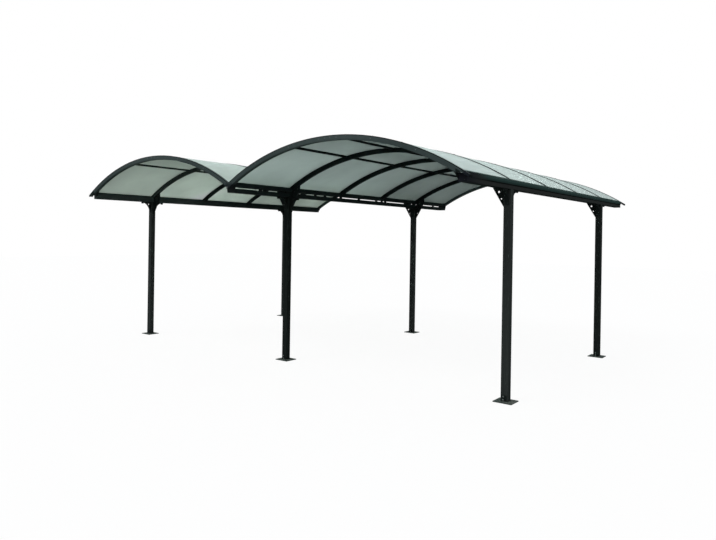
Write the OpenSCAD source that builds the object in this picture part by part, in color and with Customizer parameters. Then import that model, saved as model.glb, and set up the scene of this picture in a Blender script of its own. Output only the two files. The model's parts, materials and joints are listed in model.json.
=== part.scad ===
// Double carport: two barrel-vault canopies side by side on a shared middle row of posts.
// Millimetres, +Z up. +X runs across the two bays, +Y runs to the back.
// Origin: centre of the footprint, on the ground.

/* [Layout] */
// Distance between neighbouring rows of posts, centre to centre
row_pitch = 2700; // [2500:10:3000]
// Distance from one arch to the next
bay_length = 990; // [850:10:1200]
// Clear height under the gutters
clear_height = 1950; // [1800:10:2300]
// Height of the crown above the top of the outer gutters
roof_rise = 410; // [360:5:480]

/* [Posts] */
// Side of the square post
post_side = 70; // [60:1:80]
// Wall of the post
post_wall = 3; // [2.5:0.5:5]
// Corner radius of the post
post_corner = 6; // [2:1:8]
// Width of the flute down each face of the post
flute_width = 22; // [12:1:30]
// Depth of the flute down each face of the post
flute_depth = 1.5; // [0.5:0.5:2]

/* [Base plates] */
// Side of the square base plate
plate_side = 176; // [160:2:220]
// Thickness of the base plate
plate_thick = 8; // [6:1:12]
// Distance between the anchor holes, both ways
anchor_spacing = 130; // [115:1:140]
// Diameter of the anchor holes
anchor_hole = 14; // [10:1:18]
// Height of the spigot that stands in the foot of the post
spigot_height = 100; // [60:5:160]
// Wall of the spigot
spigot_wall = 4; // [3:0.5:6]
// Clearance on each side between the spigot and the post's bore
spigot_gap = 0.5; // [0.3:0.1:1]

/* [Outer gutters] */
// Height of the gutter section
gutter_height = 80; // [70:1:100]
// Distance from the row's centre line to the gutter's inner face
gutter_inner = 45; // [36:1:60]
// Wall of the gutter section
gutter_wall = 3; // [2:0.5:4]
// Height of the closed box under the trough
gutter_box = 34; // [24:1:40]
// Set-back of the lower outer face behind the upper one
gutter_step = 5; // [2:0.5:8]
// Height of the step in the outer face above the top of the closed box
gutter_step_rise = 8; // [4:1:12]
// Width of the bead along the lip of the trough
lip_bead = 7; // [5:0.5:9]
// Thickness of the plates that close the ends of the outer gutters
gutter_cap = 3; // [2:0.5:5]

/* [Middle valley] */
// Width of the valley gutter between the canopies
valley_width = 110; // [90:1:124]
// Height of the valley gutter
valley_height = 44; // [36:1:50]
// Wall of the valley gutter
valley_wall = 3; // [2:0.5:4]
// Open slot between the valley gutter and the eaves beams over it
valley_slot = 22; // [14:1:30]
// Distance from the middle line to each eaves beam
beam_offset = 40; // [34:1:50]
// Width of an eaves beam
beam_width = 28; // [22:1:40]
// Height of an eaves beam
beam_height = 44; // [36:1:56]
// Wall of an eaves beam
beam_wall = 2.5; // [2:0.5:4]
// Length of a spacer block along the valley
spacer_length = 40; // [30:2:60]
// Distance of a spacer block from the middle of a post
head_spacer = 80; // [60:2:110]
// Thickness of the plates that close the ends of the valley
valley_cap = 4; // [3:0.5:6]

/* [Arches] */
// Depth of the front and rear arches
end_arch_depth = 48; // [42:1:60]
// Width of the front and rear arches
end_arch_width = 48; // [40:1:60]
// Thickness of the face plate of the front and rear arches
fascia_thick = 5; // [3:0.5:8]
// Width of the flange over the ends of the roof sheets
sheet_flange = 30; // [20:1:40]
// Depth of an inner arch
arch_depth = 46; // [40:1:52]
// Width of an inner arch
arch_width = 40; // [32:1:50]
// Wall of the arches
arch_wall = 3; // [2:0.5:5]
// Length of the nose of an end arch past the outer face of the gutter
nose_reach = 42; // [30:1:60]
// Depth of that nose, and of the end arch where it passes over the gutter
nose_depth = 20; // [18:1:26]

/* [Roof sheets] */
// Thickness of a roof sheet
sheet_thick = 6; // [4:1:8]
// Joint between two neighbouring sheets
sheet_joint = 2; // [1:0.5:4]
// Distance from the outer row's centre line to the edge of the sheets
sheet_lap = 16; // [8:1:20]
// Distance from the middle line to the edge of the sheets
sheet_valley_edge = 20; // [12:1:30]
// Width of the cover strips over the joints
strip_width = 36; // [24:1:50]
// Thickness of the cover strips, and of the flange of the end arches
strip_thick = 4; // [3:0.5:6]

/* [Purlins] */
// Side of the square purlins
purlin_side = 20; // [14:1:30]
// Distance of the left purlin of each canopy from the crown, measured level
purlin_left_offset = 480; // [350:10:600]
// Distance of the right purlin of each canopy from the crown, measured level
purlin_right_offset = 120; // [60:10:600]

/* [Post heads] */
// Thickness of the plate that caps the post
head_cap = 8; // [5:1:12]
// Thickness of the knee plate under the arch
knee_thick = 8; // [5:1:12]
// Reach of the knee's sloping edge from the post's face, at the gutter
knee_reach = 103; // [80:1:130]
// Drop of the knee's sloping edge below the gutter
knee_drop = 175; // [140:5:230]
// Reach of the knee under the arch, from the row's centre line
knee_web = 182; // [160:2:220]
// Height of the knee's outer edge under the arch
knee_web_edge = 60; // [40:1:70]
// Width of the rim along the knee's sloping edge, in the plane of the plate
knee_rim = 8; // [5:1:12]
// Depth of that rim, across the plate
knee_rim_depth = 24; // [16:1:32]
// Diameter of the upper hole in the knee
knee_hole_large = 20; // [12:1:24]
// Diameter of the lower hole in the knee
knee_hole_small = 14; // [8:1:16]
// Reach of the quarter-round bracket along the gutter, from the post's face
bracket_reach = 145; // [120:5:180]
// Thickness of the quarter-round bracket
bracket_thick = 8; // [5:1:12]
// Width of the flanges along the top and along the round edge of the bracket
bracket_flange = 38; // [24:1:44]
// Thickness of the flange along the top
bracket_flange_thick = 5; // [4:0.5:8]
// Thickness of the flange along the round edge
bracket_edge_thick = 6; // [4:0.5:9]
// Depth of the lip at the tip of the bracket
bracket_lip = 22; // [12:1:26]
// Length of that lip along the gutter
bracket_lip_length = 16; // [10:1:22]
// Diameter of the hole in the bracket
bracket_hole = 20; // [12:1:24]

/* [Hidden] */
bays = 5;
fit_gap = 0.3;
// How far a cutting body runs past what it cuts.
cut = 1;
round_fn = 96;
vault_fn = 240;
canopy_centre = row_pitch / 2;
roof_length = bays * bay_length;
front_y = -roof_length / 2;
post_half = post_side / 2;
post_bays = [1, bays - 1];
post_top = clear_height - head_cap;
gutter_top = clear_height + gutter_height;
gutter_step_up = gutter_box + gutter_step_rise;
gutter_bead_up = gutter_height - lip_bead;
beam_bottom = clear_height + valley_height + valley_slot;
beam_top = beam_bottom + beam_height;
beam_far = beam_offset + beam_width;
gutter_length = roof_length - 2 * end_arch_width;

// The roof's outer circle passes through the crown and the two outer gutter faces.
roof_half_chord = canopy_centre + post_half;
roof_radius = (roof_half_chord * roof_half_chord + roof_rise * roof_rise) / (2 * roof_rise);
axis_z = gutter_top + roof_rise - roof_radius;
sheet_outer = roof_radius - strip_thick;
sheet_inner = sheet_outer - sheet_thick;
arch_outer = sheet_inner;
arch_inner = arch_outer - arch_depth;
end_arch_inner = roof_radius - end_arch_depth;
nose_inner = roof_radius - nose_depth;

// Centres of the knee's two holes, as shares of its reach and its drop.
knee_hole_upper = [0.555, 0.12];
knee_hole_lower = [0.33, 0.49];
// Distance of the bracket's hole from the post and from the gutter, as a share of its reach.
bracket_hole_share = 0.22;

// Where the spacer blocks stand, in bays from the front.
arch_spacers = [2, 3];
right_spacers = [0.46, 1.46, 2.42, 4.54];
left_spacers = [1.78, 3.24];

// Angle, from the level, of the point of a circle round the roof's axis that lies at x.
function roof_angle(radius, x) = acos((x - canopy_centre) / radius);

// Height of a circle round the roof's axis at x.
function roof_height(radius, x) =
    axis_z + sqrt(radius * radius - (x - canopy_centre) * (x - canopy_centre));

// Corners of the knee's sloping edge, and the centre of a hole from its two shares.
knee_foot = [post_half, clear_height - knee_drop];
knee_tip = [post_half + knee_reach, clear_height];
knee_corner = [knee_web, roof_height(arch_inner, knee_web) - knee_web_edge];
function knee_hole_place(share) =
    [post_half + share[0] * knee_reach, clear_height - share[1] * knee_drop];

// Distance along Y of arch number k.
function arch_y(k) = front_y + k * bay_length;

// Places a piece at a post: row -1, 0 or 1, and the number of the arch over it.
module at_post(row, k) {
    translate([row * row_pitch, arch_y(k), 0]) children();
}

// Left canopy: the right one seen in a mirror.
module left_side() {
    mirror([1, 0, 0]) children();
}

// Sweeps a section, drawn as [radius, -y], along the right canopy's vault.
module vault(from_x, to_x, radius) {
    start = roof_angle(radius, to_x);
    sweep = roof_angle(radius, from_x) - start;
    translate([canopy_centre, 0, axis_z])
        rotate([90, 0, 0])
            rotate([0, 0, start])
                rotate_extrude(angle = sweep, $fn = vault_fn)
                    children();
}

// Section of a bar in the vault: from one radius to another, between two distances along Y.
module vault_bar(r_in, r_out, y_from, y_to) {
    translate([r_in, -y_to]) square([r_out - r_in, y_to - y_from]);
}

module rounded_square(side, radius) {
    reach = side / 2 - radius;
    union() {
        square([side, 2 * reach], center = true);
        square([2 * reach, side], center = true);
        for (sx = [-1, 1], sy = [-1, 1])
            translate([sx * reach, sy * reach]) circle(r = radius, $fn = 32);
    }
}

// ---- Posts ----

module post_section() {
    bore = post_side - 2 * post_wall;
    difference() {
        rounded_square(post_side, post_corner);
        square(bore, center = true);
        for (turn = [0 : 90 : 270])
            rotate(turn) translate([post_half - flute_depth, -flute_width / 2])
                square([flute_depth + cut, flute_width]);
    }
}

module post() {
    color("#2b3032")
        translate([0, 0, plate_thick])
            linear_extrude(height = post_top - plate_thick) post_section();
}

module base_plate() {
    spigot = post_side - 2 * post_wall - 2 * spigot_gap;
    color("#2b3032") {
        difference() {
            translate([-plate_side / 2, -plate_side / 2, 0])
                cube([plate_side, plate_side, plate_thick]);
            for (sx = [-1, 1], sy = [-1, 1])
                translate([sx * anchor_spacing / 2, sy * anchor_spacing / 2, -cut])
                    cylinder(d = anchor_hole, h = plate_thick + 2 * cut, $fn = 32);
        }
        translate([0, 0, plate_thick])
            linear_extrude(height = spigot_height)
                difference() {
                    square(spigot, center = true);
                    square(spigot - 2 * spigot_wall, center = true);
                }
    }
}

// ---- Post heads ----

// Quarter-round bracket along the gutter, in the plane [distance from the post's face, height].
// The web has its hole near the corner; the edge is the flange along the round side.
module bracket_web() {
    hole_at = bracket_reach * bracket_hole_share;
    difference() {
        translate([0, -bracket_reach]) square(bracket_reach);
        bracket_bow(0);
        translate([hole_at, -hole_at]) circle(d = bracket_hole, $fn = 32);
    }
}

module bracket_edge() {
    difference() {
        intersection() {
            translate([0, -bracket_reach]) square(bracket_reach);
            bracket_bow(bracket_edge_thick);
        }
        bracket_bow(0);
    }
}

// The circle under the bracket, larger by the given width.
module bracket_bow(width) {
    translate([bracket_reach, -bracket_reach])
        circle(r = bracket_reach - bracket_flange_thick + width, $fn = round_fn);
}

// Stands a drawing of [distance along Y, height] up, with its thickness across X.
module along_gutter(thick) {
    rotate([90, 0, 90]) translate([0, 0, -thick / 2]) linear_extrude(height = thick) children();
}

// The bracket as it stands on the +Y face of the post, under the gutter.
module bracket() {
    lip_y = bracket_reach - bracket_lip_length;
    translate([0, post_half, clear_height]) {
        along_gutter(bracket_thick) bracket_web();
        along_gutter(bracket_flange) bracket_edge();
        translate([-bracket_flange / 2, 0, -bracket_flange_thick])
            cube([bracket_flange, bracket_reach, bracket_flange_thick]);
        translate([-bracket_flange / 2, lip_y, -bracket_lip])
            cube([bracket_flange, bracket_lip_length, bracket_lip]);
    }
}

// Outline of the knee plate, drawn as it stands: x across the canopy, y up.
// The row's centre line is x = 0 and the canopy lies on its +X side. rail_face is the face
// of the rail beside which the plate runs up to the arch.
module knee_outline(rail_face) {
    web_top = knee_corner[1] + 2 * knee_web_edge;
    polygon([
        knee_foot,
        knee_tip,
        knee_corner,
        [knee_web, web_top],
        [rail_face, web_top],
        [rail_face, clear_height],
        [post_half, clear_height]
    ]);
}

// Strip of the rim on the inner side of the edge from one corner to the next.
module knee_rim_strip(from, to) {
    run = to - from;
    translate(from) rotate(atan2(run[1], run[0])) square([norm(run), knee_rim]);
}

// Rim along the knee's two sloping edges.
module knee_rim(rail_face) {
    intersection() {
        knee_outline(rail_face);
        union() {
            knee_rim_strip(knee_foot, knee_tip);
            knee_rim_strip(knee_tip, knee_corner);
        }
    }
}

module knee_holes() {
    translate(knee_hole_place(knee_hole_upper)) circle(d = knee_hole_large, $fn = 32);
    translate(knee_hole_place(knee_hole_lower)) circle(d = knee_hole_small, $fn = 32);
}

// Stands a drawing of [x, height] up in the plane of the arch.
module upright(thick) {
    translate([0, thick / 2, 0]) rotate([90, 0, 0]) linear_extrude(height = thick) children();
}

// Knee on the +X side of a post: the plate, trimmed under the arch, and its rim.
module knee(rail_face) {
    upright(knee_thick)
        difference() {
            intersection() {
                knee_outline(rail_face);
                translate([canopy_centre, axis_z])
                    circle(r = arch_inner - fit_gap, $fn = vault_fn);
            }
            knee_holes();
        }
    upright(knee_rim_depth) knee_rim(rail_face);
}

module both_brackets() {
    bracket();
    mirror([0, 1, 0]) bracket();
}

module outer_head() {
    color("#24292b") {
        mirror([1, 0, 0]) knee(gutter_inner);
        both_brackets();
        translate([-gutter_inner, -post_half, post_top])
            cube([gutter_inner + post_half - gutter_step, post_side, head_cap]);
    }
}

module middle_head() {
    color("#24292b") {
        knee(beam_far);
        mirror([1, 0, 0]) knee(beam_far);
        both_brackets();
        translate([-beam_far, -post_half, post_top]) cube([2 * beam_far, post_side, head_cap]);
        head_saddle();
        mirror([1, 0, 0]) head_saddle();
    }
}

// Block that stands on the middle head's cap beside the valley and carries the right eaves beam.
module head_saddle() {
    foot = beam_far - valley_width / 2 - fit_gap;
    translate([beam_far - foot, -spacer_length / 2, clear_height])
        cube([foot, spacer_length, beam_bottom - clear_height]);
}

// ---- Gutters ----

// Outer profile of the right-hand gutter: x from the row's centre line, y up from its underside.
module gutter_profile() {
    step_x = post_half - gutter_step;
    polygon([
        [-gutter_inner, 0], [step_x, 0], [step_x, gutter_step_up], [post_half, gutter_step_up],
        [post_half, gutter_height], [-gutter_inner, gutter_height]
    ]);
}

// The trough over the box, narrower under the bead, and open at the top.
module gutter_trough() {
    inner = gutter_wall - gutter_inner;
    step_x = post_half - gutter_step - gutter_wall;
    outer = post_half - gutter_wall;
    bead_x = post_half - lip_bead;
    polygon([
        [inner, gutter_box], [step_x, gutter_box],
        [step_x, gutter_step_up + gutter_wall], [outer, gutter_step_up + gutter_wall],
        [outer, gutter_bead_up], [bead_x, gutter_bead_up],
        [bead_x, gutter_height + cut], [inner, gutter_height + cut]
    ]);
}

module gutter_section() {
    box_width = gutter_inner + post_half - gutter_step - 2 * gutter_wall;
    difference() {
        gutter_profile();
        gutter_trough();
        translate([gutter_wall - gutter_inner, gutter_wall])
            square([box_width, gutter_box - 2 * gutter_wall]);
    }
}

// Outline of the plate that closes a gutter's end, low enough to pass under the sheets.
module gutter_cap_outline() {
    difference() {
        gutter_profile();
        translate([-gutter_inner - cut, gutter_bead_up])
            square([gutter_inner + cut + post_half - lip_bead, lip_bead + cut]);
    }
}

module along_roof(length) {
    translate([0, length / 2, 0]) rotate([90, 0, 0]) linear_extrude(height = length) children();
}

module gutter() {
    color("#1f2a29")
        translate([row_pitch, 0, clear_height])
            along_roof(gutter_length - 2 * gutter_cap) gutter_section();
}

// Plate that closes the front end of the right-hand gutter.
module gutter_end_cap() {
    translate([row_pitch, -gutter_length / 2 + gutter_cap, clear_height])
        rotate([90, 0, 0]) linear_extrude(height = gutter_cap) gutter_cap_outline();
}

module gutter_end_caps() {
    color("#1f2a29")
        for (flip_x = [0, 1], flip_y = [0, 1])
            mirror([flip_x, 0, 0]) mirror([0, flip_y, 0]) gutter_end_cap();
}

module valley_gutter() {
    color("#1f2a29")
        translate([0, 0, clear_height])
            along_roof(gutter_length - 2 * valley_cap)
                difference() {
                    translate([-valley_width / 2, 0]) square([valley_width, valley_height]);
                    translate([valley_wall - valley_width / 2, valley_wall])
                        square([valley_width - 2 * valley_wall, valley_height]);
                }
}

module eaves_beam() {
    color("#1f2a29")
        translate([beam_offset, 0, beam_bottom])
            along_roof(gutter_length - 2 * valley_cap)
                difference() {
                    square([beam_width, beam_height]);
                    translate([beam_wall, beam_wall])
                        square([beam_width - 2 * beam_wall, beam_height - 2 * beam_wall]);
                }
}

// Block that stands on the rim of the valley gutter and carries the right eaves beam.
module spacer(bay_number) {
    rim = valley_width / 2 - beam_offset;
    translate([beam_offset, arch_y(bay_number) - spacer_length / 2, clear_height + valley_height])
        cube([rim, spacer_length, valley_slot]);
}

module valley_spacers() {
    color("#24292b") {
        for (k = arch_spacers) {
            spacer(k);
            left_side() spacer(k);
        }
        for (k = post_bays, turn = [-1, 1]) {
            spacer(k + turn * head_spacer / bay_length);
            left_side() spacer(k + turn * head_spacer / bay_length);
        }
        for (k = right_spacers) spacer(k);
        for (k = left_spacers) left_side() spacer(k);
    }
}

// Tapered plate that closes one end of the valley gutter and the two eaves beams.
module valley_end_cap() {
    foot = valley_width / 2;
    translate([0, end_arch_width + front_y + valley_cap, 0]) rotate([90, 0, 0])
        linear_extrude(height = valley_cap)
            polygon([
                [-foot, clear_height], [foot, clear_height],
                [beam_far, beam_bottom], [beam_far, beam_top],
                [-beam_far, beam_top], [-beam_far, beam_bottom]
            ]);
}

module valley_end_caps() {
    color("#24292b") {
        valley_end_cap();
        mirror([0, 1, 0]) valley_end_cap();
    }
}

// ---- Arches ----

// Section of the front arch: face plate, flange over the sheets' ends, and tube behind.
module end_arch_section() {
    difference() {
        union() {
            vault_bar(end_arch_inner, roof_radius, 0, fascia_thick);
            vault_bar(sheet_outer, roof_radius, 0, sheet_flange);
            vault_bar(end_arch_inner, arch_outer, 0, end_arch_width);
        }
        vault_bar(end_arch_inner + arch_wall, arch_outer - arch_wall,
            fascia_thick, end_arch_width - arch_wall);
    }
}

// Front arch of the right canopy, cut off plumb at the middle and at the end of its nose.
// From the gutter's inner face on it is notched, so that it passes over the gutter.
module front_arch() {
    low = clear_height - gutter_height;
    tall = roof_rise + 3 * gutter_height;
    notch_x = row_pitch - gutter_inner - fit_gap;
    nose_x = row_pitch + post_half + nose_reach;
    color("#3a4446")
        translate([0, front_y, 0])
            difference() {
                vault(0, nose_x + end_arch_depth, end_arch_inner) end_arch_section();
                translate([fit_gap - row_pitch, -cut, low])
                    cube([row_pitch, end_arch_width + 2 * cut, tall]);
                translate([nose_x, -cut, low])
                    cube([row_pitch, end_arch_width + 2 * cut, tall]);
                intersection() {
                    vault(canopy_centre, nose_x + 2 * end_arch_depth, end_arch_inner - cut)
                        vault_bar(end_arch_inner - cut, nose_inner, -cut, end_arch_width + cut);
                    translate([notch_x, -2 * cut, low])
                        cube([row_pitch, end_arch_width + 4 * cut, tall]);
                }
            }
}

module rear_arch() {
    mirror([0, 1, 0]) front_arch();
}

// Space that the rails take out of an inner arch: the arch seats on their tops.
module rail_notches(y) {
    translate([-row_pitch, y - arch_width, beam_bottom - gutter_height])
        cube([row_pitch + beam_far, 2 * arch_width, beam_top - beam_bottom + gutter_height]);
    translate([row_pitch - gutter_inner, y - arch_width, clear_height - gutter_height])
        cube([row_pitch, 2 * arch_width, 2 * gutter_height]);
}

module inner_arch(k) {
    half = arch_width / 2;
    from_x = sheet_valley_edge;
    to_x = row_pitch + post_half - lip_bead - fit_gap;
    color("#20272a")
        difference() {
            vault(from_x, to_x, arch_inner)
                difference() {
                    vault_bar(arch_inner, arch_outer, arch_y(k) - half, arch_y(k) + half);
                    vault_bar(arch_inner + arch_wall, arch_outer - arch_wall,
                        arch_y(k) - half + arch_wall, arch_y(k) + half - arch_wall);
                }
            rail_notches(arch_y(k));
        }
}

// ---- Purlins, sheets and strips ----

// One purlin of the right canopy, in the bay behind arch k, at a distance along X
// from the crown.
module purlin(k, offset_x) {
    tilt = asin(offset_x / sheet_inner);
    y_from = k == 0 ? end_arch_width : arch_width / 2;
    y_to = k == bays - 1 ? bay_length - end_arch_width : bay_length - arch_width / 2;
    translate([canopy_centre, arch_y(k), axis_z])
        rotate([0, tilt, 0])
            translate([-purlin_side / 2, y_from, sheet_inner - purlin_side - fit_gap])
                cube([purlin_side, y_to - y_from, purlin_side]);
}

module purlins() {
    color("#20272a")
        for (k = [0 : bays - 1], x = [-purlin_left_offset, purlin_right_offset]) purlin(k, x);
}

// Roof sheet of the right canopy over bay number k, counted from 1 at the front.
module roof_sheet(k) {
    front = k == 1 ? arch_y(0) + fascia_thick : arch_y(k - 1) + sheet_joint / 2;
    back = k == bays ? arch_y(bays) - fascia_thick : arch_y(k) - sheet_joint / 2;
    color("#9db4b0", 0.6)
        vault(sheet_valley_edge, row_pitch + sheet_lap, sheet_inner)
            vault_bar(sheet_inner, sheet_outer, front, back);
}

module cover_strips() {
    half = strip_width / 2;
    color("#2b3335")
        for (k = [1 : bays - 1])
            vault(sheet_valley_edge, row_pitch + sheet_lap, sheet_inner)
                vault_bar(sheet_outer, roof_radius, arch_y(k) - half, arch_y(k) + half);
}

// ---- The pieces ----

module base_plate_left_front() { at_post(-1, post_bays[0]) base_plate(); }
module base_plate_middle_front() { at_post(0, post_bays[0]) base_plate(); }
module base_plate_right_front() { at_post(1, post_bays[0]) base_plate(); }
module base_plate_left_rear() { at_post(-1, post_bays[1]) base_plate(); }
module base_plate_middle_rear() { at_post(0, post_bays[1]) base_plate(); }
module base_plate_right_rear() { at_post(1, post_bays[1]) base_plate(); }

module post_left_front() { at_post(-1, post_bays[0]) post(); }
module post_middle_front() { at_post(0, post_bays[0]) post(); }
module post_right_front() { at_post(1, post_bays[0]) post(); }
module post_left_rear() { at_post(-1, post_bays[1]) post(); }
module post_middle_rear() { at_post(0, post_bays[1]) post(); }
module post_right_rear() { at_post(1, post_bays[1]) post(); }

module post_head_left_front() { at_post(-1, post_bays[0]) left_side() outer_head(); }
module post_head_middle_front() { at_post(0, post_bays[0]) middle_head(); }
module post_head_right_front() { at_post(1, post_bays[0]) outer_head(); }
module post_head_left_rear() { at_post(-1, post_bays[1]) left_side() outer_head(); }
module post_head_middle_rear() { at_post(0, post_bays[1]) middle_head(); }
module post_head_right_rear() { at_post(1, post_bays[1]) outer_head(); }

module gutter_left() { left_side() gutter(); }
module gutter_right() { gutter(); }
module eaves_beam_left() { left_side() eaves_beam(); }
module eaves_beam_right() { eaves_beam(); }

module front_arch_left() { left_side() front_arch(); }
module front_arch_right() { front_arch(); }
module rear_arch_left() { left_side() rear_arch(); }
module rear_arch_right() { rear_arch(); }

module arch_left(k) { left_side() inner_arch(k); }
module arch_right(k) { inner_arch(k); }
module purlins_left() { translate([-row_pitch, 0, 0]) purlins(); }
module purlins_right() { purlins(); }
module roof_sheet_left(k) { left_side() roof_sheet(k); }
module roof_sheet_right(k) { roof_sheet(k); }
module cover_strips_left() { left_side() cover_strips(); }
module cover_strips_right() { cover_strips(); }

base_plate_left_front();
base_plate_middle_front();
base_plate_right_front();
base_plate_left_rear();
base_plate_middle_rear();
base_plate_right_rear();
post_left_front();
post_middle_front();
post_right_front();
post_left_rear();
post_middle_rear();
post_right_rear();
post_head_left_front();
post_head_middle_front();
post_head_right_front();
post_head_left_rear();
post_head_middle_rear();
post_head_right_rear();
gutter_left();
gutter_right();
gutter_end_caps();
valley_gutter();
eaves_beam_left();
eaves_beam_right();
valley_spacers();
valley_end_caps();
front_arch_left();
front_arch_right();
rear_arch_left();
rear_arch_right();
arch_left(1);  // arch_left_1
arch_left(2);  // arch_left_2
arch_left(3);  // arch_left_3
arch_left(4);  // arch_left_4
arch_right(1);  // arch_right_1
arch_right(2);  // arch_right_2
arch_right(3);  // arch_right_3
arch_right(4);  // arch_right_4
purlins_left();
purlins_right();
roof_sheet_left(1);  // roof_sheet_left_1
roof_sheet_left(2);  // roof_sheet_left_2
roof_sheet_left(3);  // roof_sheet_left_3
roof_sheet_left(4);  // roof_sheet_left_4
roof_sheet_left(5);  // roof_sheet_left_5
roof_sheet_right(1);  // roof_sheet_right_1
roof_sheet_right(2);  // roof_sheet_right_2
roof_sheet_right(3);  // roof_sheet_right_3
roof_sheet_right(4);  // roof_sheet_right_4
roof_sheet_right(5);  // roof_sheet_right_5
cover_strips_left();
cover_strips_right();
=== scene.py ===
"""Looks of a double carport: paint, clear roof sheets, screws, seals and a studio floor.

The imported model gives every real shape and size. This script dresses it, adds the small
fixed pieces, and sets the floor, the lamp and the camera. Metres, +Z up, +Y to the back.
"""

import json
import logging
import math
from dataclasses import dataclass
from enum import Enum

import bpy
import numpy as np
from mathutils import Euler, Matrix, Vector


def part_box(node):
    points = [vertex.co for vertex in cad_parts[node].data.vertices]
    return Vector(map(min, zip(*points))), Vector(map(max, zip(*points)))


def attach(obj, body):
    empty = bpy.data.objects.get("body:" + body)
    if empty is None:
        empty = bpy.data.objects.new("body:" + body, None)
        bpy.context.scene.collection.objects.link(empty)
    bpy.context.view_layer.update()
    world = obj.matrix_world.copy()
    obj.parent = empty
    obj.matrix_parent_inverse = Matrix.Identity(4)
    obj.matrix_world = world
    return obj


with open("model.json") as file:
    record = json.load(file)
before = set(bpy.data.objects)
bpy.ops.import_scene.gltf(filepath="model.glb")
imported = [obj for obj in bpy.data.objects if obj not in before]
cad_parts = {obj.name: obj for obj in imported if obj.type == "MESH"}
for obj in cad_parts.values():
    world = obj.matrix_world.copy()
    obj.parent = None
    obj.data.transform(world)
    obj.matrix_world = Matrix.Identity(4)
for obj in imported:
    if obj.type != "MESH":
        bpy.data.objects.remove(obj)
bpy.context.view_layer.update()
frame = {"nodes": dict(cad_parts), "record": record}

LOG = logging.getLogger("carport")
TAU = 2.0 * math.pi
MM = 0.001
FAR = math.inf  # A limit that leaves a zone open.
CRISP = 0.003  # Half the width of a zone's plain edge.
ARC_STEPS = 72  # Steps along the roof's arc.
SHARP_DEGREES = 35.0  # Edges that bend more than this stay sharp.
NEARLY_UPRIGHT = 0.9  # A normal with more of Z than this is turned with the help of X.
Array = np.ndarray
Pair = tuple[float, float]
Triple = tuple[float, float, float]
Rgba = tuple[float, float, float, float]
Plug = bpy.types.NodeSocket | float | tuple[float, ...]


# ---- Sizes read from the frame -------------------------------------------------------


class Side(Enum):
    """The three rows of posts, with their sign along X."""

    LEFT = -1
    MIDDLE = 0
    RIGHT = 1

    @property
    def word(self) -> str:
        """The row's name in lower case, as in the pieces' names."""
        return self.name.lower()


class End(Enum):
    """The two ends of the carport, with their sign along Y."""

    FRONT = -1
    REAR = 1

    @property
    def word(self) -> str:
        """The end's name in lower case, as in the pieces' names."""
        return self.name.lower()


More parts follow.
